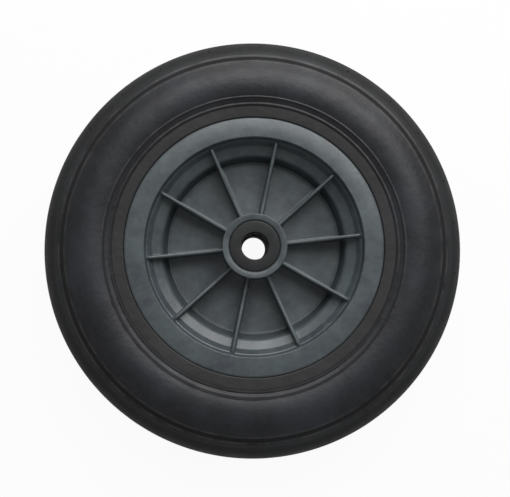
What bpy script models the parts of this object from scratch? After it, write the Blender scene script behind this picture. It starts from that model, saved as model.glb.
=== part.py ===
# Moulded wheel for a saw stand: a thick-walled tyre on a one-piece ribbed plastic rim, with a plain
# bush pressed into each end of the hub. The wheel lies flat, its axle line is Z, and the origin is
# its centre. Both faces are alike.

import math

import bmesh
import bpy
from mathutils import Matrix, Vector

MM = 0.001

# Tyre
TYRE_DIAMETER = 400.0 * MM
TYRE_WIDTH = 90.0 * MM
CREST_RADIUS = 154.0 * MM            # where the sidewall stands out furthest
CREST_ROUND = 33.0 * MM              # radius of the sidewall's bulge
SIDEWALL_SLOPE_DEGREES = 20.0        # slope outside the bulge, down to the shoulder
SHOULDER_ROUND = 25.5 * MM
SIDEWALL_THICKNESS = 9.0 * MM
TREAD_THICKNESS = 13.0 * MM
TREAD_GROOVE_PITCH = 15.0 * MM       # between the grooves that run round the tread
TREAD_GROOVE_WIDTH = 4.0 * MM
TREAD_GROOVE_DEPTH = 2.6 * MM
SHOULDER_LINE_INSETS = (3.9 * MM, 11.2 * MM)   # two moulded steps, inside the end of the shoulder
SHOULDER_LINE_DROP = 0.7 * MM
INNER_RING_RADIUS = 131.2 * MM       # two raised rings between the flange and the bulge of the sidewall
INNER_RING_WIDTH = 3.4 * MM
INNER_RING_RISE = 1.1 * MM           # on its side towards the hub
OUTER_RING_RADIUS = 137.4 * MM
RING_EDGE_WIDTH = 0.8 * MM
RING_DROP = 0.5 * MM                 # on the far side of each ring
BEAD_BAND_RISE = 1.1 * MM            # the band beside the flange rises this much out to the first ring
BEAD_TOE_THICKNESS = 2.6 * MM
BEAD_EDGE_ROUND = 0.8 * MM           # edge of that band, beside the flange
BEAD_EDGE_DROP = 0.3 * MM            # the band starts this far below the flange's face

# Rim barrel and flange
FLANGE_DIAMETER = 240.0 * MM
FLANGE_FACE_WIDTH = 17.7 * MM
FLANGE_EDGE_ROUND = 1.0 * MM
FLANGE_THICKNESS = 5.5 * MM
RIM_WIDTH = 74.0 * MM                # flange face to flange face
BARREL_WALL = 4.6 * MM
WEB_DIAMETER = 171.2 * MM            # where the barrel rises out of the web
WEB_THICKNESS = 6.0 * MM
WEB_BORDER_WIDTH = 1.5 * MM          # narrow raised border round the web
WEB_BORDER_RISE = 0.7 * MM
LEDGE_INNER_RADIUS = 88.0 * MM       # the sloping ledge halfway up the barrel
LEDGE_OUTER_RADIUS = 97.4 * MM
LEDGE_INNER_HEIGHT = 17.2 * MM       # heights are measured from the wheel's mid-plane
LEDGE_OUTER_HEIGHT = 22.8 * MM
LEDGE_FOOT_FILLET = 5.0 * MM
LEDGE_TOP_FILLET = 2.0 * MM
LIP_STEP = 1.0 * MM                  # small step below the flange's inner wall
LIP_ROUND = 0.7 * MM
LIP_DEPTH = 8.2 * MM                 # from the flange face down to that step

# Hub
HUB_LENGTH = 77.0 * MM
HUB_DIAMETER = 60.0 * MM             # at its end faces
HUB_DRAFT = 0.9 * MM                 # how much its radius grows towards the web
HUB_FILLET = 3.5 * MM
HUB_EDGE_ROUND = 0.6 * MM
HUB_FACE_DISH = 0.8 * MM
HUB_MOUTH_CHAMFER = 1.1 * MM
STOP_BORE_DIAMETER = 28.0 * MM       # bore of the ring that the bushes stop against
STOP_LENGTH = 15.0 * MM

# Bushes
AXLE_BORE_DIAMETER = 25.0 * MM
BUSH_DIAMETER = 47.0 * MM
BUSH_EDGE_ROUND = 0.9 * MM
BUSH_MOUTH_ROUND = 0.6 * MM
BUSH_LEAD_ROUND = 0.8 * MM           # on the end that is pressed in first
BUSH_SET_BACK = 0.5 * MM             # the bush's face lies this far inside the hub's face

# Ribs
RIB_COUNT = 10                       # on each face
RIB_TOP_THICKNESS = 3.0 * MM
RIB_DRAFT_DEGREES = 1.2
RIB_EDGE_ROUND = 0.9 * MM
RIB_HUB_HEIGHT = 22.0 * MM           # height of the rib's top edge above the mid-plane, at the hub
RIB_RIM_SET_BACK = 5.5 * MM          # the rib's top edge meets the flange's wall this far below its face
RIB_BEND_RADIUS = 50.0 * MM          # level from the hub to here, then rising
RIB_LEVEL_OFF = 5.0 * MM             # level again over this last stretch
RIB_BEND_FILLET = 60.0 * MM
RIB_LEVEL_FILLET = 12.0 * MM

# Clearances between separate pieces
BUSH_CLEARANCE = 0.3 * MM
TYRE_CLEARANCE = 0.45 * MM

# Fineness of the turned shapes: the rim's is a multiple of the ribs, so that each rib meets it alike
RIM_SEGMENTS = 5 * RIB_COUNT
TYRE_SEGMENTS = 48
BUSH_SEGMENTS = 32

# Where the tyre's smooth curves have their points, as shares of each stretch
SHOULDER_SHARES = (0.36, 0.58, 0.79, 1.0)    # of the shoulder's arc, from the tread up
BULGE_SHARES = (1.0, 0.5, 0.0, -0.5, -1.0)   # of the bulge's arc out from its crest, or in from it
HOLLOW_SQUARENESS = 2.8                      # 2 is a round hollow under the tread, more is squarer
HOLLOW_INNER_SHARES = (0.0, 0.4, 0.75)       # from the bead's toe out to the crest
HOLLOW_OUTER_SHARES = (0.15, 0.65, 0.93)     # from the crest out to the hollow's end

RIM_HALF = RIM_WIDTH / 2
HUB_HALF = HUB_LENGTH / 2
WEB_HALF = WEB_THICKNESS / 2
FLANGE_RADIUS = FLANGE_DIAMETER / 2
FLANGE_INNER_RADIUS = FLANGE_RADIUS - FLANGE_FACE_WIDTH
TYRE_RADIUS = TYRE_DIAMETER / 2
TYRE_HALF = TYRE_WIDTH / 2


def clear_scene():
    for item in list(bpy.data.objects):
        bpy.data.objects.remove(item, do_unlink=True)


def make_material(name, colour, roughness, metallic=0.0):
    material = bpy.data.materials.new(name)
    material.use_nodes = True
    shader = material.node_tree.nodes["Principled BSDF"]
    shader.inputs["Base Color"].default_value = (*colour, 1.0)
    shader.inputs["Roughness"].default_value = roughness
    shader.inputs["Metallic"].default_value = metallic
    return material


# A corner of an outline is (radius from the axle line, height, fillet radius, fillet steps).
def corner(radius, height, fillet=0.0, steps=2):
    return radius, height, fillet, steps


def round_corners(corners, closed=True):
    points = []
    last = len(corners) - 1
    for index, (radius, height, fillet, steps) in enumerate(corners):
        here = Vector((radius, height))
        if fillet == 0.0 or (not closed and index in (0, last)):
            points.append(here)
            continue
        back = Vector(corners[index - 1][:2]) - here
        ahead = Vector(corners[(index + 1) % len(corners)][:2]) - here
        half_angle = back.angle(ahead) / 2
        reach = min(fillet / math.tan(half_angle), 0.45 * back.length, 0.45 * ahead.length)
        turn_radius = reach * math.tan(half_angle)
        middle = (back.normalized() + ahead.normalized()).normalized()
        centre = here + middle * (turn_radius / math.sin(half_angle))
        start = here + back.normalized() * reach - centre
        end = here + ahead.normalized() * reach - centre
        sweep = start.angle_signed(end)
        for step in range(steps + 1):
            turned = start.copy()
            turned.rotate(Matrix.Rotation(-sweep * step / steps, 2))
            points.append(centre + turned)
    return points


# Both halves of a section from its front half, which runs from the mid-plane's inner side outwards
# over the front face and back to the mid-plane.
def both_faces(front_half):
    back_half = [Vector((point.x, -point.y)) for point in reversed(front_half)]
    return front_half + back_half


def offset_line(points, distance):
    moved = []
    for index, point in enumerate(points):
        normals = []
        for first, second in ((index - 1, index), (index, index + 1)):
            if first >= 0 and second < len(points):
                run = (points[second] - points[first]).normalized()
                normals.append(Vector((run.y, -run.x)))
        mitre = normals[0]
        if len(normals) == 2:
            mitre = (normals[0] + normals[1]) / (1 + normals[0].dot(normals[1]))
        moved.append(point + mitre * distance)
    return moved


def turn_outline(name, outline, segments, start_angle):
    shape = bmesh.new()
    ring = []
    for point in outline:
        position = Vector((point.x * math.cos(start_angle), point.x * math.sin(start_angle), point.y))
        ring.append(shape.verts.new(position))
    edges = [shape.edges.new((ring[index - 1], ring[index])) for index in range(len(ring))]
    bmesh.ops.spin(
        shape,
        geom=ring + edges,
        cent=(0, 0, 0),
        axis=(0, 0, 1),
        angle=math.tau,
        steps=segments,
        use_merge=True,
    )
    bmesh.ops.remove_doubles(shape, verts=shape.verts, dist=0.001 * MM)
    bmesh.ops.recalc_face_normals(shape, faces=shape.faces)
    mesh = bpy.data.meshes.new(name)
    shape.to_mesh(mesh)
    shape.free()
    return mesh


def add_object(name, mesh, material, parent, sharp_angle=28.0):
    mesh.materials.append(material)
    mesh.shade_smooth()
    mesh.set_sharp_from_angle(angle=math.radians(sharp_angle))
    item = bpy.data.objects.new(name, mesh)
    bpy.context.scene.collection.objects.link(item)
    item.parent = parent
    return item


# The inside of the barrel, from the web's edge up to the step below the flange's wall.
def barrel_inside():
    return [
        Vector((WEB_DIAMETER / 2, WEB_HALF + WEB_BORDER_RISE)),
        Vector((LEDGE_INNER_RADIUS, LEDGE_INNER_HEIGHT)),
        Vector((LEDGE_OUTER_RADIUS, LEDGE_OUTER_HEIGHT)),
        Vector((FLANGE_INNER_RADIUS - 2 * LIP_STEP, RIM_HALF - LIP_DEPTH)),
    ]


# Where a line through two points comes to a given height.
def carry_to_height(low, high, height):
    share = (height - low.y) / (high.y - low.y)
    return low + (high - low) * share


# The tyre's side of the barrel: the well, the ramp and the bead seat, up to the flange's underside.
def barrel_outside(extra=0.0):
    line = offset_line(barrel_inside(), BARREL_WALL + extra)
    underside = RIM_HALF - FLANGE_THICKNESS - extra
    line[-1] = carry_to_height(line[-2], line[-1], underside)
    return line


def rim_section():
    seat_radius = BUSH_DIAMETER / 2 + BUSH_CLEARANCE
    hub_radius = HUB_DIAMETER / 2
    web_radius = WEB_DIAMETER / 2
    foot, ledge_in, ledge_out, lip = barrel_inside()
    well, ramp_low, ramp_high, seat_top = barrel_outside()
    front = [
        corner(STOP_BORE_DIAMETER / 2, STOP_LENGTH / 2),
        corner(seat_radius, STOP_LENGTH / 2),
        corner(seat_radius, HUB_HALF - HUB_FACE_DISH - HUB_MOUTH_CHAMFER),
        corner(seat_radius + HUB_MOUTH_CHAMFER, HUB_HALF - HUB_FACE_DISH),
        corner(hub_radius, HUB_HALF, HUB_EDGE_ROUND, 1),
        corner(hub_radius + HUB_DRAFT, WEB_HALF, HUB_FILLET, 2),
        corner(web_radius - WEB_BORDER_WIDTH - WEB_BORDER_RISE / 2, WEB_HALF),
        corner(web_radius - WEB_BORDER_WIDTH, WEB_HALF + WEB_BORDER_RISE),
        corner(foot.x, foot.y),
        corner(ledge_in.x, ledge_in.y, LEDGE_FOOT_FILLET, 2),
        corner(ledge_out.x, ledge_out.y, LEDGE_TOP_FILLET, 1),
        corner(lip.x, lip.y),
        corner(lip.x + LIP_STEP, lip.y + LIP_STEP / 2),
        corner(FLANGE_INNER_RADIUS - LIP_STEP / 2, RIM_HALF, LIP_ROUND, 1),
        corner(FLANGE_RADIUS, RIM_HALF, FLANGE_EDGE_ROUND, 1),
        corner(FLANGE_RADIUS, RIM_HALF - FLANGE_THICKNESS),
        corner(seat_top.x, seat_top.y),
        corner(ramp_high.x, ramp_high.y),
        corner(ramp_low.x, ramp_low.y, LEDGE_FOOT_FILLET, 1),
        corner(well.x, well.y),
    ]
    return both_faces(round_corners(front, closed=False))


# Height of a rib's top edge: level from the hub, an even rise, and level again at the flange's wall.
def rib_top_points():
    start = Vector((HUB_DIAMETER / 2 - BARREL_WALL / 2, RIB_HUB_HEIGHT))
    bend = Vector((RIB_BEND_RADIUS, RIB_HUB_HEIGHT))
    rim_height = RIM_HALF - RIB_RIM_SET_BACK
    level = Vector((FLANGE_INNER_RADIUS - RIB_LEVEL_OFF, rim_height))
    end = Vector((FLANGE_INNER_RADIUS + BARREL_WALL / 2, rim_height))
    line = [
        corner(*start),
        corner(*bend, RIB_BEND_FILLET, 2),
        corner(*level, RIB_LEVEL_FILLET, 1),
        corner(*end),
    ]
    return round_corners(line, closed=False)


# One rib on +X, as a plate standing on the web: its foot follows the middle of the barrel's wall.
def add_rib(shape, turn):
    top = rib_top_points()
    foot_line = offset_line(barrel_inside(), BARREL_WALL / 2)
    foot_height = WEB_HALF / 2
    foot_line[0] = Vector((foot_line[0].x, foot_height))
    foot_line[-1] = Vector((top[-1].x, foot_line[-1].y))
    outline = [Vector((top[0].x, foot_height))] + foot_line + list(reversed(top))
    spread = math.tan(math.radians(RIB_DRAFT_DEGREES))
    sides = []
    for side in (-1, 1):
        ring = []
        for point in outline:
            half = RIB_TOP_THICKNESS / 2 + spread * max(RIM_HALF - RIB_RIM_SET_BACK - point.y, 0.0)
            ring.append(shape.verts.new((point.x, side * half, point.y)))
        sides.append(ring)
    faces = [shape.faces.new(sides[0]), shape.faces.new(list(reversed(sides[1])))]
    count = len(outline)
    for index in range(count):
        after = (index + 1) % count
        quad = (sides[0][after], sides[0][index], sides[1][index], sides[1][after])
        faces.append(shape.faces.new(quad))
    top_edges = []
    first_top = count - len(top)
    for ring in sides:
        for index in range(first_top, count - 1):
            top_edges.append(shape.edges.get((ring[index], ring[index + 1])))
    rib_verts = set(sides[0] + sides[1])
    bevelled = bmesh.ops.bevel(
        shape,
        geom=top_edges,
        offset=RIB_EDGE_ROUND,
        offset_type="OFFSET",
        segments=1,
        profile=0.5,
        affect="EDGES",
        clamp_overlap=True,
    )
    rib_verts.update(bevelled["verts"])
    whole = [vert for vert in rib_verts if vert.is_valid]
    bmesh.ops.transform(shape, matrix=turn, verts=whole)


def make_ribs():
    shape = bmesh.new()
    for number in range(RIB_COUNT):
        around = Matrix.Rotation(math.tau * number / RIB_COUNT, 4, "Z")
        add_rib(shape, around)
        add_rib(shape, around @ Matrix.Rotation(math.pi, 4, "X"))
    bmesh.ops.recalc_face_normals(shape, faces=shape.faces)
    mesh = bpy.data.meshes.new("rib_guide")
    shape.to_mesh(mesh)
    shape.free()
    guide = bpy.data.objects.new("rib_guide", mesh)
    bpy.context.scene.collection.objects.link(guide)
    guide.hide_render = True
    guide.display_type = "WIRE"
    return guide


def make_rim(parent, material):
    half_facet = math.pi / RIM_SEGMENTS
    mesh = turn_outline("rim", rim_section(), RIM_SEGMENTS, half_facet)
    rim = add_object("rim", mesh, material, parent)
    union = rim.modifiers.new("ribs", "BOOLEAN")
    union.operation = "UNION"
    union.solver = "EXACT"
    union.object = make_ribs()
    union.object.parent = parent
    return rim


# Height of the sidewall at a radius: an arc over the crest, then an even slope.
def sidewall_height(radius):
    slope = math.radians(SIDEWALL_SLOPE_DEGREES)
    bulge_end = CREST_RADIUS + CREST_ROUND * math.sin(slope)
    if radius <= bulge_end:
        return TYRE_HALF - CREST_ROUND + math.sqrt(CREST_ROUND**2 - (radius - CREST_RADIUS) ** 2)
    end_height = TYRE_HALF - CREST_ROUND * (1 - math.cos(slope))
    return end_height - (radius - bulge_end) * math.tan(slope)


# Centre of the shoulder's arc, which runs from the tread up to the sidewall's slope.
def shoulder_centre():
    reach = SHOULDER_ROUND * math.tan((math.pi / 2 - math.radians(SIDEWALL_SLOPE_DEGREES)) / 2)
    return Vector((TYRE_RADIUS - SHOULDER_ROUND, sidewall_height(TYRE_RADIUS) - reach))


def shoulder_point(share):
    angle = share * (math.pi / 2 - math.radians(SIDEWALL_SLOPE_DEGREES))
    return shoulder_centre() + SHOULDER_ROUND * Vector((math.cos(angle), math.sin(angle)))


def bulge_point(share):
    angle = share * math.radians(SIDEWALL_SLOPE_DEGREES)
    centre = Vector((CREST_RADIUS, TYRE_HALF - CREST_ROUND))
    return centre + CREST_ROUND * Vector((math.sin(angle), math.cos(angle)))


# Radius of the tread at a height above the mid-plane: level, then round the shoulder.
def tread_radius(height):
    centre = shoulder_centre()
    rise = max(height - centre.y, 0.0)
    return centre.x + math.sqrt(SHOULDER_ROUND**2 - rise**2)


# Height of the hollow inside the tyre, from under the tread in to the toe of the bead.
def hollow_height(radius, toe):
    top = TYRE_HALF - SIDEWALL_THICKNESS
    if radius >= CREST_RADIUS:
        share = (radius - CREST_RADIUS) / (TYRE_RADIUS - TREAD_THICKNESS - CREST_RADIUS)
        power = HOLLOW_SQUARENESS
        return top * max(1 - share**power, 0.0) ** (1 / power)
    share = min((CREST_RADIUS - radius) / (CREST_RADIUS - toe.x), 1.0)
    return toe.y + (top - toe.y) * (0.5 + 0.5 * math.cos(math.pi * share)) ** 1.5


def tread_groove(centre_height):
    half = TREAD_GROOVE_WIDTH / 2
    floor = tread_radius(centre_height) - TREAD_GROOVE_DEPTH
    return [
        Vector((tread_radius(centre_height - half), centre_height - half)),
        Vector((floor, centre_height)),
        Vector((tread_radius(centre_height + half), centre_height + half)),
    ]


# Both raised rings: each drops a little on its far side, and the first stands up from the bead's band.
def ring_points():
    foot = OUTER_RING_RADIUS + RING_EDGE_WIDTH
    crown = RIM_HALF - BEAD_EDGE_DROP + BEAD_BAND_RISE + INNER_RING_RISE
    far_side = INNER_RING_RADIUS + INNER_RING_WIDTH / 2
    near_side = INNER_RING_RADIUS - INNER_RING_WIDTH / 2
    return [
        Vector((foot, sidewall_height(foot))),
        Vector((OUTER_RING_RADIUS, sidewall_height(foot) + RING_DROP)),
        Vector((far_side, crown - RING_DROP)),
        Vector((far_side - RING_EDGE_WIDTH, crown)),
        Vector((near_side + RING_EDGE_WIDTH, crown)),
        Vector((near_side, crown - INNER_RING_RISE)),
    ]


def tyre_section():
    outer = [Vector((TYRE_RADIUS - TREAD_GROOVE_DEPTH, 0.0))]
    outer.append(Vector((tread_radius(TREAD_GROOVE_WIDTH / 2), TREAD_GROOVE_WIDTH / 2)))
    outer += tread_groove(TREAD_GROOVE_PITCH)
    for share in SHOULDER_SHARES:
        outer.append(shoulder_point(share))
    sidewall = [bulge_point(share) for share in BULGE_SHARES]
    for inset in SHOULDER_LINE_INSETS:
        radius = outer[-1].x - inset
        height = sidewall_height(radius)
        sidewall.append(Vector((radius + SHOULDER_LINE_DROP, height - SHOULDER_LINE_DROP)))
        sidewall.append(Vector((radius, height)))
    outer += sorted(sidewall, key=lambda point: point.x, reverse=True)
    outer += ring_points()
    band_start = RIM_HALF - BEAD_EDGE_DROP
    edge = FLANGE_RADIUS + TYRE_CLEARANCE
    outer.append(Vector((edge + BEAD_EDGE_ROUND, band_start)))
    outer.append(Vector((edge, band_start - BEAD_EDGE_ROUND)))
    toe_side = barrel_outside(TYRE_CLEARANCE)
    outer.append(Vector((edge, toe_side[-1].y)))
    outer.append(toe_side[-1])
    outer.append(toe_side[-2])
    toe = Vector((toe_side[-2].x + BEAD_TOE_THICKNESS, toe_side[-2].y))
    inner = []
    for share in HOLLOW_INNER_SHARES:
        radius = toe.x + (CREST_RADIUS - toe.x) * share
        inner.append(Vector((radius, hollow_height(radius, toe))))
    reach = TYRE_RADIUS - TREAD_THICKNESS - CREST_RADIUS
    for share in HOLLOW_OUTER_SHARES:
        radius = CREST_RADIUS + reach * share
        inner.append(Vector((radius, hollow_height(radius, toe))))
    front = outer + inner
    # the first point lies on the mid-plane and is shared by both faces
    mirrored = [Vector((point.x, -point.y)) for point in reversed(front[1:])]
    return front + mirrored


def make_tyre(parent, material):
    mesh = turn_outline("tyre", tyre_section(), TYRE_SEGMENTS, 0.0)
    return add_object("tyre", mesh, material, parent)


def bush_mesh():
    inside_end = STOP_LENGTH / 2 + BUSH_CLEARANCE
    face = HUB_HALF - HUB_FACE_DISH - BUSH_SET_BACK
    corners = [
        corner(AXLE_BORE_DIAMETER / 2, inside_end),
        corner(BUSH_DIAMETER / 2, inside_end, BUSH_LEAD_ROUND, 1),
        corner(BUSH_DIAMETER / 2, face, BUSH_EDGE_ROUND, 2),
        corner(AXLE_BORE_DIAMETER / 2, face, BUSH_MOUTH_ROUND, 2),
    ]
    return turn_outline("bush", round_corners(corners), BUSH_SEGMENTS, 0.0)


def make_bushes(parent, material):
    mesh = bush_mesh()
    front = add_object("front_bush", mesh, material, parent)
    back = bpy.data.objects.new("rear_bush", mesh)
    bpy.context.scene.collection.objects.link(back)
    back.parent = parent
    back.rotation_euler = (math.pi, 0.0, 0.0)
    return front, back


def main():
    clear_scene()
    wheel = bpy.data.objects.new("wheel", None)
    bpy.context.scene.collection.objects.link(wheel)
    make_tyre(wheel, make_material("tyre_rubber", (0.026, 0.027, 0.028), 0.62))
    make_rim(wheel, make_material("rim_plastic", (0.072, 0.092, 0.101), 0.42))
    make_bushes(wheel, make_material("bush_plastic", (0.030, 0.032, 0.034), 0.5))


main()
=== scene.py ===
# Saw stand wheel: dresses the plain model's tyre, rim and bushes with fine shapes and finishes,
# and sets the floor, the light and the camera. The wheel lies flat, its axle line is Z.

import math

import bmesh
import bpy
from mathutils import Matrix, Vector


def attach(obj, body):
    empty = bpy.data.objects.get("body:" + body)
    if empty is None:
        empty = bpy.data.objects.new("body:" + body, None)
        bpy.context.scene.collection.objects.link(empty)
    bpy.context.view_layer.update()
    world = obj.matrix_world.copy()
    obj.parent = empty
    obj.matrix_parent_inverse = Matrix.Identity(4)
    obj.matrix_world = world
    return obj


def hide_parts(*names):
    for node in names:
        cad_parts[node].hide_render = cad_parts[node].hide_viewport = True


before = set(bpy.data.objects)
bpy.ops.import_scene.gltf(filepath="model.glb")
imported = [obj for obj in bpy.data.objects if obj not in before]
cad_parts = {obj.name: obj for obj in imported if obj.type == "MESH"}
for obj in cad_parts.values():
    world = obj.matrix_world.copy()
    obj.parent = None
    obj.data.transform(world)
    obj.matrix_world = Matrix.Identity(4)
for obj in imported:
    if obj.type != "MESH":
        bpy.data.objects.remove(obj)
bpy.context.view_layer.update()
mm = 0.001
sharpAngle = math.radians(40)      # edges sharper than this aren't shaded smooth


# Helpers for sections, which are lines of (radius, height)


def addObject(name, data):
    item = bpy.data.objects.new(name, data)
    bpy.context.scene.collection.objects.link(item)
    return item


def objectFrom(name, shape):
    mesh = bpy.data.meshes.new(name)
    shape.to_mesh(mesh)
    shape.free()
    return addObject(name, mesh)


def roundCorners(corners, closed=True, stepLength=0.4 * mm):
    # each corner is (radius, height, fillet); an arc gets a point about every step length
    points = []
    last = len(corners) - 1
    for index, (radius, height, fillet) in enumerate(corners):
        here = Vector((radius, height))
        if fillet == 0 or (not closed and index in (0, last)):
            points.append(here)
            continue
        back = Vector(corners[index - 1][:2]) - here
        ahead = Vector(corners[(index + 1) % len(corners)][:2]) - here
        halfAngle = back.angle(ahead) / 2
        reach = min(fillet / math.tan(halfAngle), 0.45 * back.length, 0.45 * ahead.length)
        arcRadius = reach * math.tan(halfAngle)
        middle = (back.normalized() + ahead.normalized()).normalized()
        centre = here + middle * (arcRadius / math.sin(halfAngle))
        start = here + back.normalized() * reach - centre
        end = here + ahead.normalized() * reach - centre
        sweep = start.angle_signed(end)
        steps = max(2, min(8, round(abs(sweep) * arcRadius / stepLength)))
        for step in range(steps + 1):
            turned = start.copy()
            turned.rotate(Matrix.Rotation(-sweep * step / steps, 2))
            points.append(centre + turned)
    return points


def offsetLine(points, distance):
    moved = []
    for index, point in enumerate(points):
        normals = []
        for first, second in ((index - 1, index), (index, index + 1)):
            if first >= 0 and second < len(points):
                run = (points[second] - points[first]).normalized()
                normals.append(Vector((run.y, -run.x)))
        mitre = normals[0]
        if len(normals) == 2:
            mitre = (normals[0] + normals[1]) / (1 + normals[0].dot(normals[1]))
        moved.append(point + mitre * distance)
    return moved


def bothFaces(frontHalf, shared=0):
    # the first points, which lie on the mid-plane, are shared by both halves
    backHalf = [Vector((point.x, -point.y)) for point in reversed(frontHalf[shared:])]
    return frontHalf + backHalf


def distanceToLine(point, line):
    nearest = 1.0
    for first, second in zip(line, line[1:]):
        run = second - first
        share = (point - first).dot(run) / max(run.length_squared, 1e-12)
        foot = first + run * min(max(share, 0), 1)
        nearest = min(nearest, (point - foot).length)
    return nearest


def heightAt(line, radius):
    for first, second in zip(line, line[1:]):
        if first.x <= radius <= second.x and second.x > first.x:
            return first.y + (second.y - first.y) * (radius - first.x) / (second.x - first.x)
    return line[0].y if radius < line[0].x else line[-1].y


# Geometry node trees: a turned section, and copies set round the axle line


def newTree(name, inputs):
    tree = bpy.data.node_groups.new(name, "GeometryNodeTree")
    tree.interface.new_socket("Geometry", in_out="OUTPUT", socket_type="NodeSocketGeometry")
    for label, kind in inputs:
        tree.interface.new_socket(label, in_out="INPUT", socket_type=kind)
    return tree


def endTree(tree, given, geometry):
    # instances are made real and get their finish
    realize = tree.nodes.new("GeometryNodeRealizeInstances")
    finish = tree.nodes.new("GeometryNodeSetMaterial")
    result = tree.nodes.new("NodeGroupOutput")
    tree.links.new(geometry, realize.inputs["Geometry"])
    tree.links.new(realize.outputs["Geometry"], finish.inputs["Geometry"])
    tree.links.new(given.outputs["Finish"], finish.inputs["Material"])
    tree.links.new(finish.outputs["Geometry"], result.inputs["Geometry"])


def socketOf(tree, label):
    for entry in tree.interface.items_tree:
        if entry.item_type == "SOCKET" and entry.in_out == "INPUT" and entry.name == label:
            return entry.identifier
    raise KeyError(label)


def makeTurnedTree():
    tree = newTree("turnedSection", [
        ("Section", "NodeSocketObject"),
        ("Segments", "NodeSocketInt"),
        ("Guide radius", "NodeSocketFloat"),
        ("Finish", "NodeSocketMaterial"),
    ])
    nodes, links = tree.nodes, tree.links
    given = nodes.new("NodeGroupInput")
    circle = nodes.new("GeometryNodeCurvePrimitiveCircle")
    section = nodes.new("GeometryNodeObjectInfo")
    sweep = nodes.new("GeometryNodeCurveToMesh")
    smooth = nodes.new("GeometryNodeSetShadeSmooth")
    links.new(given.outputs["Segments"], circle.inputs["Resolution"])
    links.new(given.outputs["Guide radius"], circle.inputs["Radius"])
    links.new(given.outputs["Section"], section.inputs["Object"])
    links.new(circle.outputs["Curve"], sweep.inputs["Curve"])
    links.new(section.outputs["Geometry"], sweep.inputs["Profile Curve"])
    links.new(sweep.outputs["Mesh"], smooth.inputs["Geometry"])
    endTree(tree, given, smooth.outputs["Geometry"])
    return tree


def makeRingTree():
    # the blank stands at angle 0, and each copy is turned about the axle line
    tree = newTree("copiesRoundTheAxle", [
        ("Blank", "NodeSocketObject"),
        ("Count", "NodeSocketInt"),
        ("Unevenness", "NodeSocketFloat"),
        ("Seed", "NodeSocketInt"),
        ("Finish", "NodeSocketMaterial"),
    ])
    nodes, links = tree.nodes, tree.links
    given = nodes.new("NodeGroupInput")
    spots = nodes.new("GeometryNodePoints")
    blank = nodes.new("GeometryNodeObjectInfo")
    number = nodes.new("GeometryNodeInputIndex")
    share = nodes.new("ShaderNodeMath")
    share.operation = "DIVIDE"
    angle = nodes.new("ShaderNodeMath")
    angle.operation = "MULTIPLY"
    angle.inputs[1].default_value = math.tau
    uneven = nodes.new("FunctionNodeRandomValue")
    uneven.data_type = "FLOAT"
    uneven.inputs[2].default_value = -1
    uneven.inputs[3].default_value = 1
    spread = nodes.new("ShaderNodeMath")
    spread.operation = "MULTIPLY_ADD"
    turn = nodes.new("ShaderNodeCombineXYZ")
    place = nodes.new("GeometryNodeInstanceOnPoints")
    links.new(given.outputs["Count"], spots.inputs["Count"])
    links.new(given.outputs["Blank"], blank.inputs["Object"])
    links.new(number.outputs["Index"], share.inputs[0])
    links.new(given.outputs["Count"], share.inputs[1])
    links.new(share.outputs[0], angle.inputs[0])
    links.new(given.outputs["Seed"], uneven.inputs["Seed"])
    links.new(uneven.outputs[1], spread.inputs[0])
    links.new(given.outputs["Unevenness"], spread.inputs[1])
    links.new(angle.outputs[0], spread.inputs[2])
    links.new(spread.outputs[0], turn.inputs["Z"])
    links.new(spots.outputs[0], place.inputs["Points"])
    links.new(blank.outputs["Geometry"], place.inputs["Instance"])
    links.new(turn.outputs[0], place.inputs["Rotation"])
    endTree(tree, given, place.outputs["Instances"])
    return tree


def growFrom(tree, name, values):
    item = addObject(name, bpy.data.meshes.new(name))
    modifier = item.modifiers.new("grow", "NODES")
    modifier.node_group = tree
    for label, value in values.items():
        modifier[socketOf(tree, label)] = value
    graph = bpy.context.evaluated_depsgraph_get()
    plain = bpy.data.meshes.new_from_object(item.evaluated_get(graph), depsgraph=graph)
    item.modifiers.clear()
    item.data = plain
    return item


def turnSection(name, outline, segments, finish):
    curve = bpy.data.curves.new(name + "Section", "CURVE")
    curve.dimensions = "3D"
    guideRadius = sum(point.x for point in outline) / len(outline)
    spline = curve.splines.new("POLY")
    spline.points.add(len(outline) - 1)
    for index, point in enumerate(outline):
        spline.points[index].co = (point.x - guideRadius, -point.y, 0, 1)
    spline.use_cyclic_u = True
    section = addObject(name + "Section", curve)
    values = {"Section": section, "Segments": segments, "Guide radius": guideRadius, "Finish": finish}
    item = growFrom(turnedTree, name, values)
    bpy.data.objects.remove(section)
    return item


def tidyMesh(item):
    shape = bmesh.new()
    shape.from_mesh(item.data)
    bmesh.ops.remove_doubles(shape, verts=shape.verts, dist=0.002 * mm)
    bmesh.ops.recalc_face_normals(shape, faces=shape.faces)
    shape.to_mesh(item.data)
    shape.free()
    item.data.shade_smooth()
    item.data.set_sharp_from_angle(angle=sharpAngle)


def joinMeshes(name, items):
    shape = bmesh.new()
    for item in items:
        shape.from_mesh(item.data)
    joined = objectFrom(name, shape)
    for material in items[0].data.materials:
        joined.data.materials.append(material)
    for item in items:
        bpy.data.objects.remove(item)
    joined.data.shade_smooth()
    joined.data.set_sharp_from_angle(angle=sharpAngle)
    return joined


turnedTree = makeTurnedTree()
ringTree = makeRingTree()


# A material with its shader, and short calls for the nodes that feed it


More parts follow.
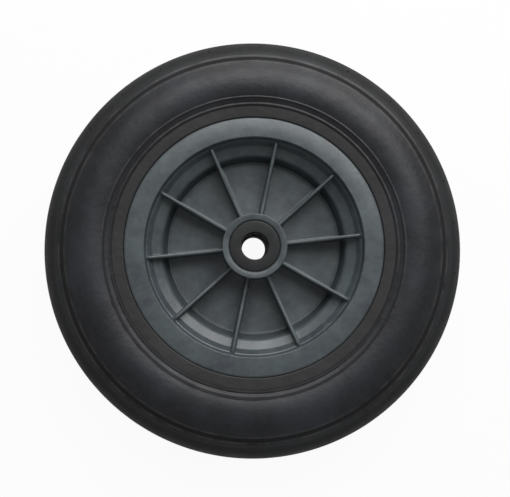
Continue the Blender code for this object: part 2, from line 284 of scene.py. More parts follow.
class Maker:
    def __init__(self, name):
        self.material = bpy.data.materials.new(name)
        self.material.use_nodes = True
        self.tree = self.material.node_tree
        self.shader = self.tree.nodes["Principled BSDF"]
        self.place = self.tree.nodes.new("ShaderNodeTexCoord").outputs["Object"]

    def link(self, source, target):
        self.tree.links.new(source, target)

    def noise(self, scale, detail=2.0, roughness=0.5, vector=None):
        node = self.tree.nodes.new("ShaderNodeTexNoise")
        node.inputs["Scale"].default_value = scale
        node.inputs["Detail"].default_value = detail
        node.inputs["Roughness"].default_value = roughness
        self.link(vector or self.place, node.inputs["Vector"])
        return node.outputs["Fac"]

    def ranged(self, source, fromLow, fromHigh, toLow=0.0, toHigh=1.0):
        node = self.tree.nodes.new("ShaderNodeMapRange")
        node.inputs["From Min"].default_value = fromLow
        node.inputs["From Max"].default_value = fromHigh
        node.inputs["To Min"].default_value = toLow
        node.inputs["To Max"].default_value = toHigh
        self.link(source, node.inputs["Value"])
        return node.outputs["Result"]

    def math(self, operation, first, second):
        node = self.tree.nodes.new("ShaderNodeMath")
        node.operation = operation
        node.use_clamp = operation in ("ADD", "MULTIPLY")
        for socket, value in zip(node.inputs, (first, second)):
            if isinstance(value, (int, float)):
                socket.default_value = value
            else:
                self.link(value, socket)
        return node.outputs[0]

    def mix(self, factor, first, second):
        node = self.tree.nodes.new("ShaderNodeMix")
        node.data_type = "RGBA"
        self.link(factor, node.inputs["Factor"])
        for label, value in (("A", first), ("B", second)):
            socket = [entry for entry in node.inputs if entry.name == label and entry.type == "RGBA"][0]
            if isinstance(value, tuple):
                socket.default_value = value
            else:
                self.link(value, socket)
        return [entry for entry in node.outputs if entry.type == "RGBA"][0]

    def vectorMath(self, operation, source, value=None):
        node = self.tree.nodes.new("ShaderNodeVectorMath")
        node.operation = operation
        self.link(source, node.inputs[0])
        if value:
            node.inputs[1].default_value = value
        return node

    def radius(self):
        # distance from the axle line
        flat = self.vectorMath("MULTIPLY", self.place, (1, 1, 0))
        return self.vectorMath("LENGTH", flat.outputs[0]).outputs["Value"]

    def height(self):
        # distance from the mid-plane
        upright = self.vectorMath("MULTIPLY", self.place, (0, 0, 1))
        return self.vectorMath("LENGTH", upright.outputs[0]).outputs["Value"]

    def streaks(self, across, along):
        # noise drawn out round the axle line: bands to a metre of radius, and patches round it
        flat = self.vectorMath("MULTIPLY", self.place, (1, 1, 0))
        around = self.vectorMath("NORMALIZE", flat.outputs[0])
        around = self.vectorMath("MULTIPLY", around.outputs[0], (along, along, 0))
        outward = self.tree.nodes.new("ShaderNodeCombineXYZ")
        self.link(self.radius(), outward.inputs["Z"])
        outward = self.vectorMath("MULTIPLY", outward.outputs[0], (0, 0, across))
        place = self.vectorMath("ADD", around.outputs[0])
        self.link(outward.outputs[0], place.inputs[1])
        return self.noise(1, 3, 0.55, place.outputs[0])

    def nearRadius(self, radius, centre, halfWidth):
        away = self.math("ABSOLUTE", self.math("SUBTRACT", radius, centre), 0.0)
        return self.ranged(away, 0.0, halfWidth, 1.0, 0.0)

    def bump(self, layers):
        # layers are (height source, distance in metres, strength), the broadest first
        normal = None
        for source, distance, strength in layers:
            node = self.tree.nodes.new("ShaderNodeBump")
            node.inputs["Distance"].default_value = distance
            node.inputs["Strength"].default_value = strength
            self.link(source, node.inputs["Height"])
            if normal:
                self.link(normal, node.inputs["Normal"])
            normal = node.outputs["Normal"]
        self.link(normal, self.shader.inputs["Normal"])


# Rim: one moulding with its ribs

rimSizes = {
    "flangeRadius": 120 * mm,
    "flangeInnerRadius": 102.3 * mm,
    "halfWidth": 37 * mm,
    "flangeThickness": 5.5 * mm,
    "flangeBevel": (1.6 * mm, 0.65 * mm),  # width and drop at its outer edge
    "barrelWall": 4.6 * mm,
    "webRadius": 85.6 * mm,
    "webHalf": 3 * mm,
    "borderWidth": 1.5 * mm,
    "borderRise": 0.7 * mm,
    "ledgeIn": (88 * mm, 17.2 * mm),
    "ledgeOut": (97.4 * mm, 22.8 * mm),
    "lipStep": 1 * mm,
    "lipDepth": 8.2 * mm,
    "hubHalf": 38.5 * mm,
    "hubRadius": 30 * mm,
    "hubDraft": 0.9 * mm,
    "hubFillet": 3.5 * mm,
    "hubFaceDish": 0.8 * mm,
    "hubMouthChamfer": 1.1 * mm,
    "seatRadius": 23.8 * mm,
    "stopRadius": 14 * mm,
    "stopHalf": 7.5 * mm,
    "segments": 240,
}
ribSizes = {
    "count": 10,                          # on each face
    "topThickness": 3 * mm,
    "draft": math.radians(1.2),
    "edgeRound": 1.35 * mm,
    "footFillet": 1.3 * mm,
    "hubHeight": 22 * mm,
    "rimSetBack": 5.5 * mm,
    "bendRadius": 50 * mm,
    "levelOff": 5 * mm,
    "endReach": 2.6 * mm,                 # the top turns down over this last stretch
    "endDrop": 1.1 * mm,
    "sunk": 2.3 * mm,                     # how far its ends reach into the hub and the wall
    "stations": (                         # (radius, step up to the next) in mm, from the hub outwards
        (27.5, 0.7), (34.5, 4.0), (82.5, 0.4), (88.6, 0.9), (94.0, 0.5), (104.6, 0),
    ),
    "footLevels": (0, 0.4, 0.55, 0.8, 1.2, 1.7),   # heights in mm of the points along the foot's fillet
}
plasticLook = {
    "dark": (0.053, 0.060, 0.071, 1),
    "light": (0.099, 0.124, 0.128, 1),
    "mark": (0.150, 0.165, 0.170, 1),      # pale handling marks
    "paintedShade": (0.024, 0.031, 0.035, 1),     # painted shade on the steep wall round the web
    "paintedShadeAt": (87.0 * mm, 2.4 * mm),      # radius of its middle, and half its width
    "paintedShadeShare": 0.6,
    "specular": 0.65,
    "roughness": (0.28, 0.42),
}


def barrelInside():
    return [
        Vector((rimSizes["webRadius"], rimSizes["webHalf"] + rimSizes["borderRise"])),
        Vector(rimSizes["ledgeIn"]),
        Vector(rimSizes["ledgeOut"]),
        Vector((
            rimSizes["flangeInnerRadius"] - 2 * rimSizes["lipStep"],
            rimSizes["halfWidth"] - rimSizes["lipDepth"],
        )),
    ]


def barrelOutside(extra=0.0):
    line = offsetLine(barrelInside(), rimSizes["barrelWall"] + extra)
    underside = rimSizes["halfWidth"] - rimSizes["flangeThickness"] - extra
    low, high = line[-2], line[-1]
    line[-1] = low + (high - low) * ((underside - low.y) / (high.y - low.y))
    return line


def rimFront():
    seat, stopHalf = rimSizes["seatRadius"], rimSizes["stopHalf"]
    hubHalf, dish, chamfer = rimSizes["hubHalf"], rimSizes["hubFaceDish"], rimSizes["hubMouthChamfer"]
    web, webHalf = rimSizes["webRadius"], rimSizes["webHalf"]
    border, rise = rimSizes["borderWidth"], rimSizes["borderRise"]
    foot, ledgeIn, ledgeOut, lip = barrelInside()
    well, rampLow, rampHigh, seatTop = barrelOutside()
    inner, outer, half = rimSizes["flangeInnerRadius"], rimSizes["flangeRadius"], rimSizes["halfWidth"]
    step, (bevel, bevelDrop) = rimSizes["lipStep"], rimSizes["flangeBevel"]
    corners = [
        (rimSizes["stopRadius"], stopHalf, 0.4 * mm),
        (seat, stopHalf, 0),
        (seat, hubHalf - dish - chamfer, 0.3 * mm),
        (seat + chamfer, hubHalf - dish, 0.5 * mm),
        (rimSizes["hubRadius"], hubHalf, 0.7 * mm),
        (rimSizes["hubRadius"] + rimSizes["hubDraft"], webHalf, rimSizes["hubFillet"]),
        (web - border - rise / 2, webHalf, 0.4 * mm),
        (web - border, webHalf + rise, 0.3 * mm),
        (foot.x, foot.y, 1.0 * mm),
        (ledgeIn.x, ledgeIn.y, 7.0 * mm),
        (ledgeOut.x, ledgeOut.y, 2.5 * mm),
        (lip.x, lip.y, 0.35 * mm),
        (lip.x + step, lip.y + step / 2, 0.35 * mm),
        (inner - step / 2, half, 0.8 * mm),
        (outer - bevel, half, 0.6 * mm),
        (outer, half - bevelDrop, 0.5 * mm),
        (outer, half - rimSizes["flangeThickness"], 0.6 * mm),
        (seatTop.x, seatTop.y, 0),
        (rampHigh.x, rampHigh.y, 0),
        (rampLow.x, rampLow.y, 5.0 * mm),
        (well.x, well.y, 0),
    ]
    return corners


def ribTopLine():
    rimHeight = rimSizes["halfWidth"] - ribSizes["rimSetBack"]
    corners = [
        (rimSizes["hubRadius"] - ribSizes["sunk"], ribSizes["hubHeight"], 0),
        (ribSizes["bendRadius"], ribSizes["hubHeight"], 60 * mm),
        (rimSizes["flangeInnerRadius"] - ribSizes["levelOff"], rimHeight, 12 * mm),
        (rimSizes["flangeInnerRadius"] - ribSizes["endReach"], rimHeight, 3 * mm),
        (rimSizes["flangeInnerRadius"], rimHeight - ribSizes["endDrop"], 0),
        (rimSizes["flangeInnerRadius"] + ribSizes["sunk"], rimHeight - 2 * ribSizes["endDrop"], 0),
    ]
    return roundCorners(corners, closed=False, stepLength=0.8 * mm)


def spaced(start, end, step):
    count = max(1, round((end - start) / step))
    return [start + (end - start) * index / count for index in range(count)]


def ribBlank():
    top = ribTopLine()
    corners = rimFront()
    wall = roundCorners(corners[3:15], closed=False)      # hub face, web, barrel and flange as one line
    ground = [point for point in wall if point.x > rimSizes["hubRadius"] + 0.5 * mm and point.y < 36 * mm]
    ground = [Vector((0.0, 0.5 * mm)), Vector((ground[0].x - 0.01 * mm, 0.5 * mm))] + ground
    marks = ribSizes["stations"]
    stations = []
    for (start, step), following in zip(marks, marks[1:]):
        stations += spaced(start * mm, following[0] * mm, step * mm)
    stations.append(marks[-1][0] * mm)
    fillet, edge = ribSizes["footFillet"], ribSizes["edgeRound"]
    spread = math.tan(ribSizes["draft"])
    topHeight = rimSizes["halfWidth"] - ribSizes["rimSetBack"]
    shape = bmesh.new()
    rings = []
    for radius in stations:
        crown = heightAt(top, radius)
        foot = min(heightAt(ground, radius), crown - 0.6 * mm) - 0.4 * mm
        span = crown - foot
        lower = [level * mm for level in ribSizes["footLevels"]]
        upper = [edge * (1 - math.sin(math.pi / 2 * step / 4)) for step in range(5)]
        squeeze = min(1.0, 0.5 * span / lower[-1], 0.4 * span / edge)
        lower = [value * squeeze for value in lower]
        upper = [value * squeeze for value in upper]
        middle = []
        for index in range(1, 6):
            middle.append(lower[-1] + (span - upper[0] - lower[-1]) * index / 6)
        rises = lower + middle + [span - value for value in upper]
        side = []
        for rise in rises:
            point = Vector((radius, foot + rise))
            half = ribSizes["topThickness"] / 2 + spread * max(topHeight - point.y, 0)
            near = min(distanceToLine(point, wall), fillet)
            if point.y < heightAt(ground, radius):
                near = 0.0
            half += fillet - math.sqrt(max(fillet ** 2 - (fillet - near) ** 2, 0))
            below = min(crown - point.y, edge)
            half -= edge - math.sqrt(max(edge ** 2 - (edge - below) ** 2, 0))
            side.append((point, half))
        ring = [(point.x, -half, point.y) for point, half in side]
        ring += [(point.x, half, point.y) for point, half in reversed(side)]
        rings.append([shape.verts.new(place) for place in ring])
    for first, second in zip(rings, rings[1:]):
        for index in range(len(first)):
            after = (index + 1) % len(first)
            shape.faces.new((first[index], second[index], second[after], first[after]))
    shape.faces.new(list(reversed(rings[0])))
    shape.faces.new(rings[-1])
    flipped = bmesh.ops.duplicate(shape, geom=list(shape.verts) + list(shape.edges) + list(shape.faces))
    copies = [entry for entry in flipped["geom"] if isinstance(entry, bmesh.types.BMVert)]
    bmesh.ops.transform(shape, matrix=Matrix.Rotation(math.pi, 4, "X"), verts=copies)
    bmesh.ops.recalc_face_normals(shape, faces=shape.faces)
    return objectFrom("ribPair", shape)


def makePlastic():
    maker = Maker("rimPlastic")
    mottle = maker.ranged(maker.noise(34, 4, 0.55), 0.34, 0.68)
    fleck = maker.ranged(maker.noise(120, 4, 0.6), 0.36, 0.64)
    grain = maker.noise(1900, 2, 0.55)
    blend = maker.math("ADD", maker.math("MULTIPLY", mottle, 0.5), maker.math("MULTIPLY", fleck, 0.35))
    blend = maker.math("ADD", blend, maker.math("MULTIPLY", grain, 0.15))
    base = maker.mix(blend, plasticLook["dark"], plasticLook["light"])
    specks = maker.ranged(maker.noise(360, 3, 0.55), 0.69, 0.75)
    patches = maker.ranged(maker.noise(16, 3, 0.5), 0.52, 0.66, 0.0, 0.6)
    base = maker.mix(maker.math("MULTIPLY", specks, patches), base, plasticLook["mark"])
    # painted shade: the steep wall round the web is darkened low down, near the web
    middle, halfWidth = plasticLook["paintedShadeAt"]
    paintedWallShade = maker.ranged(maker.nearRadius(maker.radius(), middle, halfWidth), 0.0, 0.5)
    lowDown = maker.ranged(maker.height(), rimSizes["ledgeIn"][1], rimSizes["ledgeIn"][1] - 3 * mm)
    paintedWallShade = maker.math("MULTIPLY", maker.math("MULTIPLY", paintedWallShade, lowDown), plasticLook["paintedShadeShare"])
    base = maker.mix(paintedWallShade, base, plasticLook["paintedShade"])
    maker.link(base, maker.shader.inputs["Base Color"])
    low, high = plasticLook["roughness"]
    maker.link(maker.ranged(maker.noise(60, 4, 0.6), 0.3, 0.7, low, high), maker.shader.inputs["Roughness"])
    maker.shader.inputs["Specular IOR Level"].default_value = plasticLook["specular"]
    maker.bump([
        (maker.noise(120, 2, 0.5), 0.00035, 0.40),
        (fleck, 0.00006, 0.25),
        (grain, 0.00006, 0.35),
    ])
    return maker.material


plastic = makePlastic()
rimOutline = bothFaces(roundCorners(rimFront(), closed=False))
rimBody = turnSection("rimBody", rimOutline, rimSizes["segments"], plastic)
tidyMesh(rimBody)
blank = ribBlank()
ribs = growFrom(ringTree, "ribs", {
    "Blank": blank, "Count": ribSizes["count"], "Unevenness": 0.0, "Seed": 1, "Finish": plastic,
})
bpy.data.objects.remove(blank)
rimMoulding = joinMeshes("rimMoulding", [rimBody, ribs])
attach(rimMoulding, "root")
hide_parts("rim")
print("rim:", len(rimMoulding.data.polygons), "faces")


# Tyre

tyreSizes = {
    "radius": 200 * mm,
    "halfWidth": 45 * mm,
    "crestRadius": 154 * mm,              # where the sidewall stands out furthest
    "crestRound": 33 * mm,                # radius of its bulge
    "slope": math.radians(20),            # outside the bulge, down to the shoulder
    "shoulderRound": 25.5 * mm,
    "sidewallThickness": 9 * mm,
    "treadThickness": 13 * mm,
    "hollowSquareness": 2.8,
    "treadGrooves": (0, 15 * mm),         # heights of the grooves' centres
    "treadGrooveWidth": 4 * mm,
    "treadGrooveDepth": 2.6 * mm,
    "treadStart": 178.9 * mm,             # the line past which the rubber is duller
    "shoulderSteps": (                    # (radius, rise) in mm: a lip, a step down and a ledge
        (170.8, 0.0), (172.1, 0.45), (172.8, 0.43), (177.1, -1.15), (179.9, -0.30), (184.0, -0.85),
        (189.0, -0.45), (197.0, 0.0),
    ),
    "stepMiddle": 175.2 * mm,
    "stepHalf": 2.8 * mm,
    "edgeLine": 184.5 * mm,               # fine line where the tread begins
    "edgeLineDepth": 0.2 * mm,
    "ringCrests": (132.3 * mm, 138.2 * mm),   # the two raised rings near the flange
    "ringTops": (38.9 * mm, 41.75 * mm),
    "innerRingHalf": 1.7 * mm,
    "innerRingRise": 1.1 * mm,
    "innerRingFlank": 1.7 * mm,
    "ringEdge": 0.8 * mm,
    "ringDrop": 0.5 * mm,
    "bandHeight": 36.7 * mm,
    "bandEdge": 0.8 * mm,
    "toeReach": 2.6 * mm,                 # from the bead's inner corner to the hollow
    "hollowEnd": 8 * mm,                  # height of the hollow's corner under the tread
    "ventAngle": math.radians(56),        # of the vent nubs, round the shoulder
    "ventCount": 26,
    "ventRadii": (0.55 * mm, 0.42 * mm),
    "ventHeight": 1 * mm,
    "segments": 288,
}
tyreGap = 0.45 * mm
rubberLook = {
    "dark": (0.0060, 0.0063, 0.0074, 1),
    "light": (0.0190, 0.0198, 0.0226, 1),
    "haze": (0.0310, 0.0330, 0.0410, 1),   # thin uneven film over the sidewall
    "hazeAt": (148 * mm, 24 * mm),         # radius where it is thickest, and how far it reaches
    "tread": (0.0098, 0.0106, 0.0092, 1),  # past the shoulder
    "darkBands": (0.0025, 0.0028, 0.0027, 1),   # darker colour in the step down and beside the rings
    "darkBandsAt": ((131.2 * mm, 1.4 * mm), (137.3 * mm, 1.1 * mm)),   # beside the rings: radius, half width
    "dustAndHighlight": (0.088, 0.086, 0.071, 1),     # pale dust on the raised lines and the scuffs; on the lines it is partly a painted highlight
    "dustAndHighlightAt": (133.6 * mm, 139.0 * mm, 172.4 * mm, 178.9 * mm),
    "band": (0.034, 0.032, 0.031, 1),      # dustier band beside the flange
    "roughness": (0.38, 0.54),
    "shares": {                            # how much of each colour shows
        "band": 0.45, "haze": 0.35, "tread": 0.7, "darkBands": 0.75, "ringDarkening": 0.75, "dustAndHighlight": 0.55,
    },
    "specular": 0.42,
    "treadDullness": 0.3,                  # added roughness past the shoulder
    "darkBandDullness": 0.4,                   # and in the dark bands
}


def crestPoint(tilt):
    centre = Vector((tyreSizes["crestRadius"], tyreSizes["halfWidth"] - tyreSizes["crestRound"]))
    return centre + Vector((math.sin(tilt), math.cos(tilt))) * tyreSizes["crestRound"]


def shoulderCentre():
    slope, turn = tyreSizes["slope"], tyreSizes["shoulderRound"]
    end = crestPoint(slope)
    height = end.y - (tyreSizes["radius"] - end.x) * math.tan(slope)
    return Vector((tyreSizes["radius"] - turn, height - turn * math.tan((math.pi / 2 - slope) / 2)))


def shoulderPoint(angle):
    return shoulderCentre() + Vector((math.cos(angle), math.sin(angle))) * tyreSizes["shoulderRound"]


def hollowHeight(radius, toe):
    top = tyreSizes["halfWidth"] - tyreSizes["sidewallThickness"]
    crest = tyreSizes["crestRadius"]
    if radius >= crest:
        share = (radius - crest) / (tyreSizes["radius"] - tyreSizes["treadThickness"] - crest)
        power = tyreSizes["hollowSquareness"]
        return top * max(1 - share ** power, 0) ** (1 / power)
    share = min((crest - radius) / (crest - toe.x), 1)
    return toe.y + (top - toe.y) * (0.5 + 0.5 * math.cos(math.pi * share)) ** 1.5


def ease(value):
    value = min(max(value, 0), 1)
    return value * value * (3 - 2 * value)


def tyreRelief(point):
    # how far the surface stands in or out from the plain curve: grooves, lines and lips
    relief = 0.0
    half = tyreSizes["treadGrooveWidth"] / 2
    for centre in tyreSizes["treadGrooves"]:
        relief -= tyreSizes["treadGrooveDepth"] * ease(1 - abs(point.y - centre) / half)
    steps = [Vector(step) * mm for step in tyreSizes["shoulderSteps"]]
    blur = 0.3 * mm
    relief += sum(heightAt(steps, point.x + shift) for shift in (-blur, 0, blur)) / 3
    relief -= tyreSizes["edgeLineDepth"] * ease(1 - abs(point.x - tyreSizes["edgeLine"]) / (0.6 * mm))
    return relief


def thinLine(points, tolerance):
    # keeps the points that the line's shape needs
    if len(points) < 3:
        return list(points)
    first, last = points[0], points[-1]
    run = last - first
    worst, place = 0.0, 0
    for index in range(1, len(points) - 1):
        away = points[index] - first
        gap = abs(run.x * away.y - run.y * away.x) / max(run.length, 1e-9)
        if gap > worst:
            worst, place = gap, index
    if worst < tolerance:
        return [first, last]
    return thinLine(points[:place + 1], tolerance)[:-1] + thinLine(points[place:], tolerance)


def tyreOutline():
    tyreRadius, slope = tyreSizes["radius"], tyreSizes["slope"]
    foot = tyreSizes["ringCrests"][1] + tyreSizes["ringEdge"]
    treadEnd, sweep = shoulderCentre().y, math.pi / 2 - slope
    footTilt = math.asin((foot - tyreSizes["crestRadius"]) / tyreSizes["crestRound"])
    slopeStart, slopeEnd = shoulderPoint(sweep), crestPoint(slope)
    plain = [Vector((tyreRadius, treadEnd * step / 120)) for step in range(120)]
    plain += [shoulderPoint(sweep * step / 250) for step in range(250)]
    plain += [slopeStart.lerp(slopeEnd, step / 200) for step in range(200)]
    plain += [crestPoint(slope + (footTilt - slope) * step / 200) for step in range(201)]
    shaped = []
    for index, point in enumerate(plain):
        before, after = plain[max(index - 1, 0)], plain[min(index + 1, len(plain) - 1)]
        run = (after - before).normalized()
        shaped.append(point + Vector((run.y, -run.x)) * tyreRelief(point))
    shaped[0].y = 0.0
    outer = thinLine(shaped, 0.012 * mm)
    edge = rimSizes["flangeRadius"] + tyreGap
    toeSide = barrelOutside(tyreGap)
    inner, outerCrest = tyreSizes["ringCrests"]
    innerTop, outerTop = tyreSizes["ringTops"]
    half, lip, drop = tyreSizes["innerRingHalf"], tyreSizes["ringEdge"], tyreSizes["ringDrop"]
    band, bandEdge = tyreSizes["bandHeight"], tyreSizes["bandEdge"]
    corners = [
        (outer[-2].x, outer[-2].y, 0),
        (foot, outer[-1].y, 0.5 * mm),
        (outerCrest, outerTop, 0.4 * mm),
        (inner + half, innerTop - drop, 0.3 * mm),
        (inner + half - lip, innerTop, 0.5 * mm),
        (inner - half + tyreSizes["innerRingFlank"], innerTop, 0.5 * mm),
        (inner - half, innerTop - tyreSizes["innerRingRise"], 0.5 * mm),
        (edge + bandEdge, band, 0.6 * mm),
        (edge, band - bandEdge, 0.4 * mm),
        (edge, toeSide[-1].y, 0),
        (toeSide[-1].x, toeSide[-1].y, 0),
        (toeSide[-2].x, toeSide[-2].y, 0),
    ]
    outer = outer[:-1] + roundCorners(corners, closed=False)[1:]
    toe = Vector((toeSide[-2].x + tyreSizes["toeReach"], toeSide[-2].y))
    underTread = tyreSizes["radius"] - tyreSizes["treadThickness"]
    hollow = []
    for step in range(24):
        radius = toe.x + (underTread - toe.x) * step / 24
        hollow.append(Vector((radius, hollowHeight(radius, toe))))
    hollow.append(Vector((underTread, tyreSizes["hollowEnd"])))
    return bothFaces(outer + hollow, shared=1)


def nubBlank():
    # the trimmed stub of a mould vent, standing on the shoulder at angle 0
    spot = shoulderPoint(tyreSizes["ventAngle"])
    normal = (spot - shoulderCentre()).normalized()
    axis = Vector((normal.x, 0, normal.y))
    base, top = tyreSizes["ventRadii"]
    shape = bmesh.new()
    bmesh.ops.create_cone(
        shape, cap_ends=True, segments=10, radius1=base, radius2=top, depth=tyreSizes["ventHeight"],
    )
    turn = axis.to_track_quat("Z", "Y").to_matrix().to_4x4()
    bmesh.ops.transform(shape, matrix=Matrix.Translation((spot.x, 0, spot.y)) @ turn, verts=shape.verts)
    return objectFrom("ventNub", shape)


def makeRubber():
    maker = Maker("tyreRubber")
    shares = rubberLook["shares"]
    mottle = maker.ranged(maker.noise(38, 5, 0.62), 0.36, 0.66)
    fleck = maker.ranged(maker.noise(280, 4, 0.6), 0.36, 0.64)
    grain = maker.noise(1500, 3, 0.6)
    blend = maker.math("ADD", maker.math("MULTIPLY", mottle, 0.45), maker.math("MULTIPLY", fleck, 0.40))
    blend = maker.math("ADD", blend, maker.math("MULTIPLY", grain, 0.15))
    base = maker.mix(blend, rubberLook["dark"], rubberLook["light"])
    radius = maker.radius()
    film = maker.ranged(maker.noise(17, 5, 0.6), 0.46, 0.66, 0.0, 0.55)
    thicker = maker.math("MULTIPLY", maker.nearRadius(radius, *rubberLook["hazeAt"]), shares["haze"])
    base = maker.mix(maker.math("ADD", film, thicker), base, rubberLook["haze"])
    bandEnd = tyreSizes["ringCrests"][0] - tyreSizes["innerRingHalf"]
    onBand = maker.math("MULTIPLY", maker.ranged(radius, bandEnd, bandEnd - 0.8 * mm), shares["band"])
    base = maker.mix(onBand, base, rubberLook["band"])
    onTread = maker.ranged(radius, tyreSizes["treadStart"], tyreSizes["treadStart"] + 7 * mm)
    # darker colour, and duller, in the step down and in bands beside the rings
    inDarkBands = maker.ranged(maker.nearRadius(radius, tyreSizes["stepMiddle"], tyreSizes["stepHalf"]), 0.0, 0.4)
    for centre, halfWidth in rubberLook["darkBandsAt"]:
        ringDarkening = maker.nearRadius(radius, centre, halfWidth)
        ringDarkening = maker.ranged(ringDarkening, 0.0, 0.6, 0.0, shares["ringDarkening"])
        inDarkBands = maker.math("MAXIMUM", inDarkBands, ringDarkening)
    base = maker.mix(maker.math("MULTIPLY", onTread, shares["tread"]), base, rubberLook["tread"])
    base = maker.mix(maker.math("MULTIPLY", inDarkBands, shares["darkBands"]), base, rubberLook["darkBands"])
    # pale dust and a painted highlight along the raised lines, the same all the way round
    lines = 0.0
    for centre in rubberLook["dustAndHighlightAt"]:
        lines = maker.math("MAXIMUM", lines, maker.nearRadius(radius, centre, 0.8 * mm))
    patchy = maker.ranged(maker.noise(70, 4, 0.6), 0.40, 0.62)
    dustAndHighlightOnLines = maker.math("MULTIPLY", maker.math("MULTIPLY", lines, patchy), shares["dustAndHighlight"])
    base = maker.mix(dustAndHighlightOnLines, base, rubberLook["dustAndHighlight"])
    specks = maker.ranged(maker.noise(420, 2, 0.5), 0.70, 0.76)
    scuffs = maker.math("MULTIPLY", specks, maker.ranged(maker.noise(22, 3, 0.5), 0.46, 0.62, 0.0, 0.5))
    base = maker.mix(scuffs, base, rubberLook["dustAndHighlight"])
    maker.link(base, maker.shader.inputs["Base Color"])
    streaks = maker.streaks(700, 5)
    patches = maker.noise(52, 4, 0.6)
    uneven = maker.math("ADD", maker.math("MULTIPLY", streaks, 0.5), maker.math("MULTIPLY", patches, 0.5))
    low, high = rubberLook["roughness"]
    roughness = maker.ranged(uneven, 0.32, 0.68, low, high)
    treadDullness = maker.math("MULTIPLY", onTread, rubberLook["treadDullness"])
    darkBandDullness = maker.math("MULTIPLY", inDarkBands, rubberLook["darkBandDullness"])
    dullness = maker.math("MAXIMUM", treadDullness, darkBandDullness)
    maker.link(maker.math("ADD", roughness, dullness), maker.shader.inputs["Roughness"])
    maker.shader.inputs["Specular IOR Level"].default_value = rubberLook["specular"]
    maker.bump([
        (maker.noise(24, 3, 0.5), 0.0026, 0.40),
        (maker.noise(75, 3, 0.5), 0.0007, 0.45),
        (fleck, 0.00012, 0.45),
        (streaks, 0.00012, 0.25),
        (grain, 0.00012, 0.35),
    ])
    return maker.material


rubber = makeRubber()
tyreBody = turnSection("tyreBody", tyreOutline(), tyreSizes["segments"], rubber)
tidyMesh(tyreBody)
blank = nubBlank()
nubs = growFrom(ringTree, "ventNubs", {
    "Blank": blank, "Count": tyreSizes["ventCount"], "Unevenness": 0.02, "Seed": 4, "Finish": rubber,
})
bpy.data.objects.remove(blank)
tyreShell = joinMeshes("tyreShell", [tyreBody, nubs])
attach(tyreShell, "root")
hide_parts("tyre")
print("tyre:", len(tyreShell.data.polygons), "faces")


# Bushes

bushSizes = {
    "boreRadius": 12.5 * mm,
    "radius": 23.5 * mm,
    "insideEnd": 7.8 * mm,
    "face": 37.2 * mm,
    "edgeRound": 0.9 * mm,
    "mouthRound": 0.8 * mm,
    "segments": 160,
}
bushLook = {
    "dark": (0.0070, 0.0078, 0.0088, 1),
    "light": (0.0120, 0.0130, 0.0145, 1),
    "roughness": (0.40, 0.54),
    "bore": (0.0035, 0.0035, 0.0038, 1),  # painted shade: the bore is darker, and dull
    "boreDullness": 0.4,
}


def makeBushPlastic():
    maker = Maker("bushPlastic")
    mottle = maker.ranged(maker.noise(120, 4, 0.6), 0.34, 0.68)
    base = maker.mix(mottle, bushLook["dark"], bushLook["light"])
    # painted shade down the bore, which is also made duller
    edge = bushSizes["boreRadius"] + 0.1 * mm
    inBore = maker.ranged(maker.radius(), edge + 0.5 * mm, edge)
    base = maker.mix(inBore, base, bushLook["bore"])
    maker.link(base, maker.shader.inputs["Base Color"])
    low, high = bushLook["roughness"]
    roughness = maker.ranged(maker.noise(90, 3, 0.6), 0.3, 0.7, low, high)
    dullness = maker.math("MULTIPLY", inBore, bushLook["boreDullness"])
    maker.link(maker.math("ADD", roughness, dullness), maker.shader.inputs["Roughness"])
    maker.bump([
        (maker.noise(260, 3, 0.55), 0.00025, 0.30),
        (maker.noise(2100, 2, 0.5), 0.00005, 0.35),
    ])
    return maker.material


bushFinish = makeBushPlastic()
for name, node, side in (("frontBush", "front_bush", 1), ("rearBush", "rear_bush", -1)):
    corners = [
        (bushSizes["boreRadius"], side * bushSizes["insideEnd"], 0.4 * mm),
        (bushSizes["radius"], side * bushSizes["insideEnd"], 0.8 * mm),
        (bushSizes["radius"], side * bushSizes["face"], bushSizes["edgeRound"]),
        (bushSizes["boreRadius"], side * bushSizes["face"], bushSizes["mouthRound"]),
    ]
    bush = turnSection(name, roundCorners(corners, stepLength=0.2 * mm), bushSizes["segments"], bushFinish)
    tidyMesh(bush)
    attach(bush, "root")
    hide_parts(node)
    print(name + ":", len(bush.data.polygons), "faces")


# Floor, light and camera

stageSizes = {
    "floorHalf": 3.0,
    "floorHeight": -45 * mm,
    "floorColour": (0.86, 0.86, 0.86, 1),
    "whiteShare": 0.94,                   # how much of the floor shows plain white; the rest keeps the shadow
    "worldStrength": 0.225,
    "keyDirection": (0.30, 1.0, 1.0),     # as the camera sees it: right, up, towards it
    "keyDistance": 1.3,
    "keySize": (1.4, 1.1),
    "keyPower": 18.3,
    "hubSeen": (-0.976 * mm, 0.707 * mm, -451.179 * mm),   # the wheel's centre, as the camera sees it
    "cameraTilt": (math.radians(1.377), math.radians(2.66)),
    "wheelTurn": math.radians(-6.1),      # the wheel is turned a little in the frame
    "focalLength": 36 * 450 / 510,        # for a sensor 36 mm wide
}


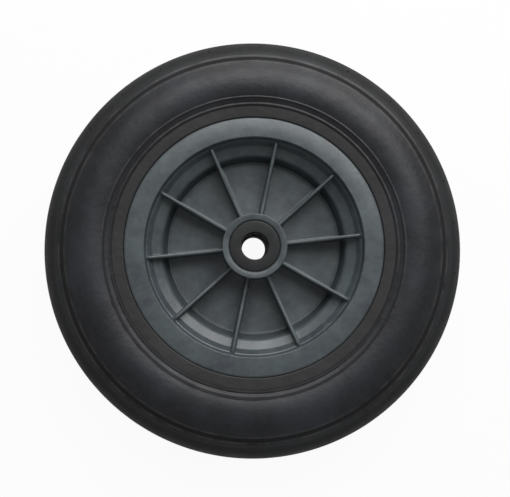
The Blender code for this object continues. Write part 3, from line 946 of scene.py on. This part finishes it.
def makeFloor():
    half = stageSizes["floorHalf"]
    shape = bmesh.new()
    corners = [(-half, -half), (half, -half), (half, half), (-half, half)]
    shape.faces.new([shape.verts.new((x, y, stageSizes["floorHeight"])) for x, y in corners])
    floor = objectFrom("floor", shape)
    material = bpy.data.materials.new("floorPaper")
    material.use_nodes = True
    tree = material.node_tree
    shader = tree.nodes["Principled BSDF"]
    shader.inputs["Base Color"].default_value = stageSizes["floorColour"]
    shader.inputs["Roughness"].default_value = 0.9
    shader.inputs["Specular IOR Level"].default_value = 0.1
    white = tree.nodes.new("ShaderNodeEmission")
    white.inputs["Color"].default_value = (1, 1, 1, 1)
    white.inputs["Strength"].default_value = 1
    path = tree.nodes.new("ShaderNodeLightPath")
    seen = path.outputs["Is Camera Ray"]
    for label in ("Is Glossy Ray", "Is Transmission Ray"):
        either = tree.nodes.new("ShaderNodeMath")
        either.operation = "MAXIMUM"
        tree.links.new(seen, either.inputs[0])
        tree.links.new(path.outputs[label], either.inputs[1])
        seen = either.outputs[0]
    share = tree.nodes.new("ShaderNodeMath")
    share.operation = "MULTIPLY"
    share.inputs[1].default_value = stageSizes["whiteShare"]
    tree.links.new(seen, share.inputs[0])
    blend = tree.nodes.new("ShaderNodeMixShader")
    tree.links.new(share.outputs[0], blend.inputs["Fac"])
    tree.links.new(shader.outputs[0], blend.inputs[1])
    tree.links.new(white.outputs[0], blend.inputs[2])
    tree.links.new(blend.outputs[0], tree.nodes["Material Output"].inputs["Surface"])
    floor.data.materials.append(material)


def makeCamera():
    # the camera stands almost straight above the wheel's front face
    sideways, upwards = stageSizes["cameraTilt"]
    facing = Vector((math.tan(sideways), math.tan(upwards), 1)).normalized()
    right = Vector((0, 1, 0)).cross(facing).normalized()
    up = facing.cross(right)
    hub = Vector(stageSizes["hubSeen"])
    place = Matrix((right, up, facing)).to_4x4()
    place.translation = Vector((-hub.dot(right), -hub.dot(up), -hub.dot(facing)))
    data = bpy.data.cameras.new("camera")
    data.sensor_fit = "HORIZONTAL"
    data.sensor_width = 36
    data.lens = stageSizes["focalLength"]
    data.clip_start = 0.01
    camera = addObject("camera", data)
    camera.matrix_world = Matrix.Rotation(stageSizes["wheelTurn"], 4, "Z") @ place
    bpy.context.scene.camera = camera
    return camera


def makeLight(camera):
    world = bpy.data.worlds.new("studio")
    world.use_nodes = True
    background = world.node_tree.nodes["Background"]
    background.inputs["Color"].default_value = (1, 1, 1, 1)
    background.inputs["Strength"].default_value = stageSizes["worldStrength"]
    bpy.context.scene.world = world
    data = bpy.data.lights.new("key", "AREA")
    data.shape = "RECTANGLE"
    data.size, data.size_y = stageSizes["keySize"]
    data.energy = stageSizes["keyPower"]
    key = addObject("key", data)
    direction = camera.matrix_world.to_3x3() @ Vector(stageSizes["keyDirection"]).normalized()
    key.location = direction * stageSizes["keyDistance"]
    key.rotation_euler = direction.to_track_quat("Z", "Y").to_euler()


makeFloor()
camera = makeCamera()
makeLight(camera)
bpy.context.scene.view_settings.view_transform = "Standard"
print("floor, light and camera set")
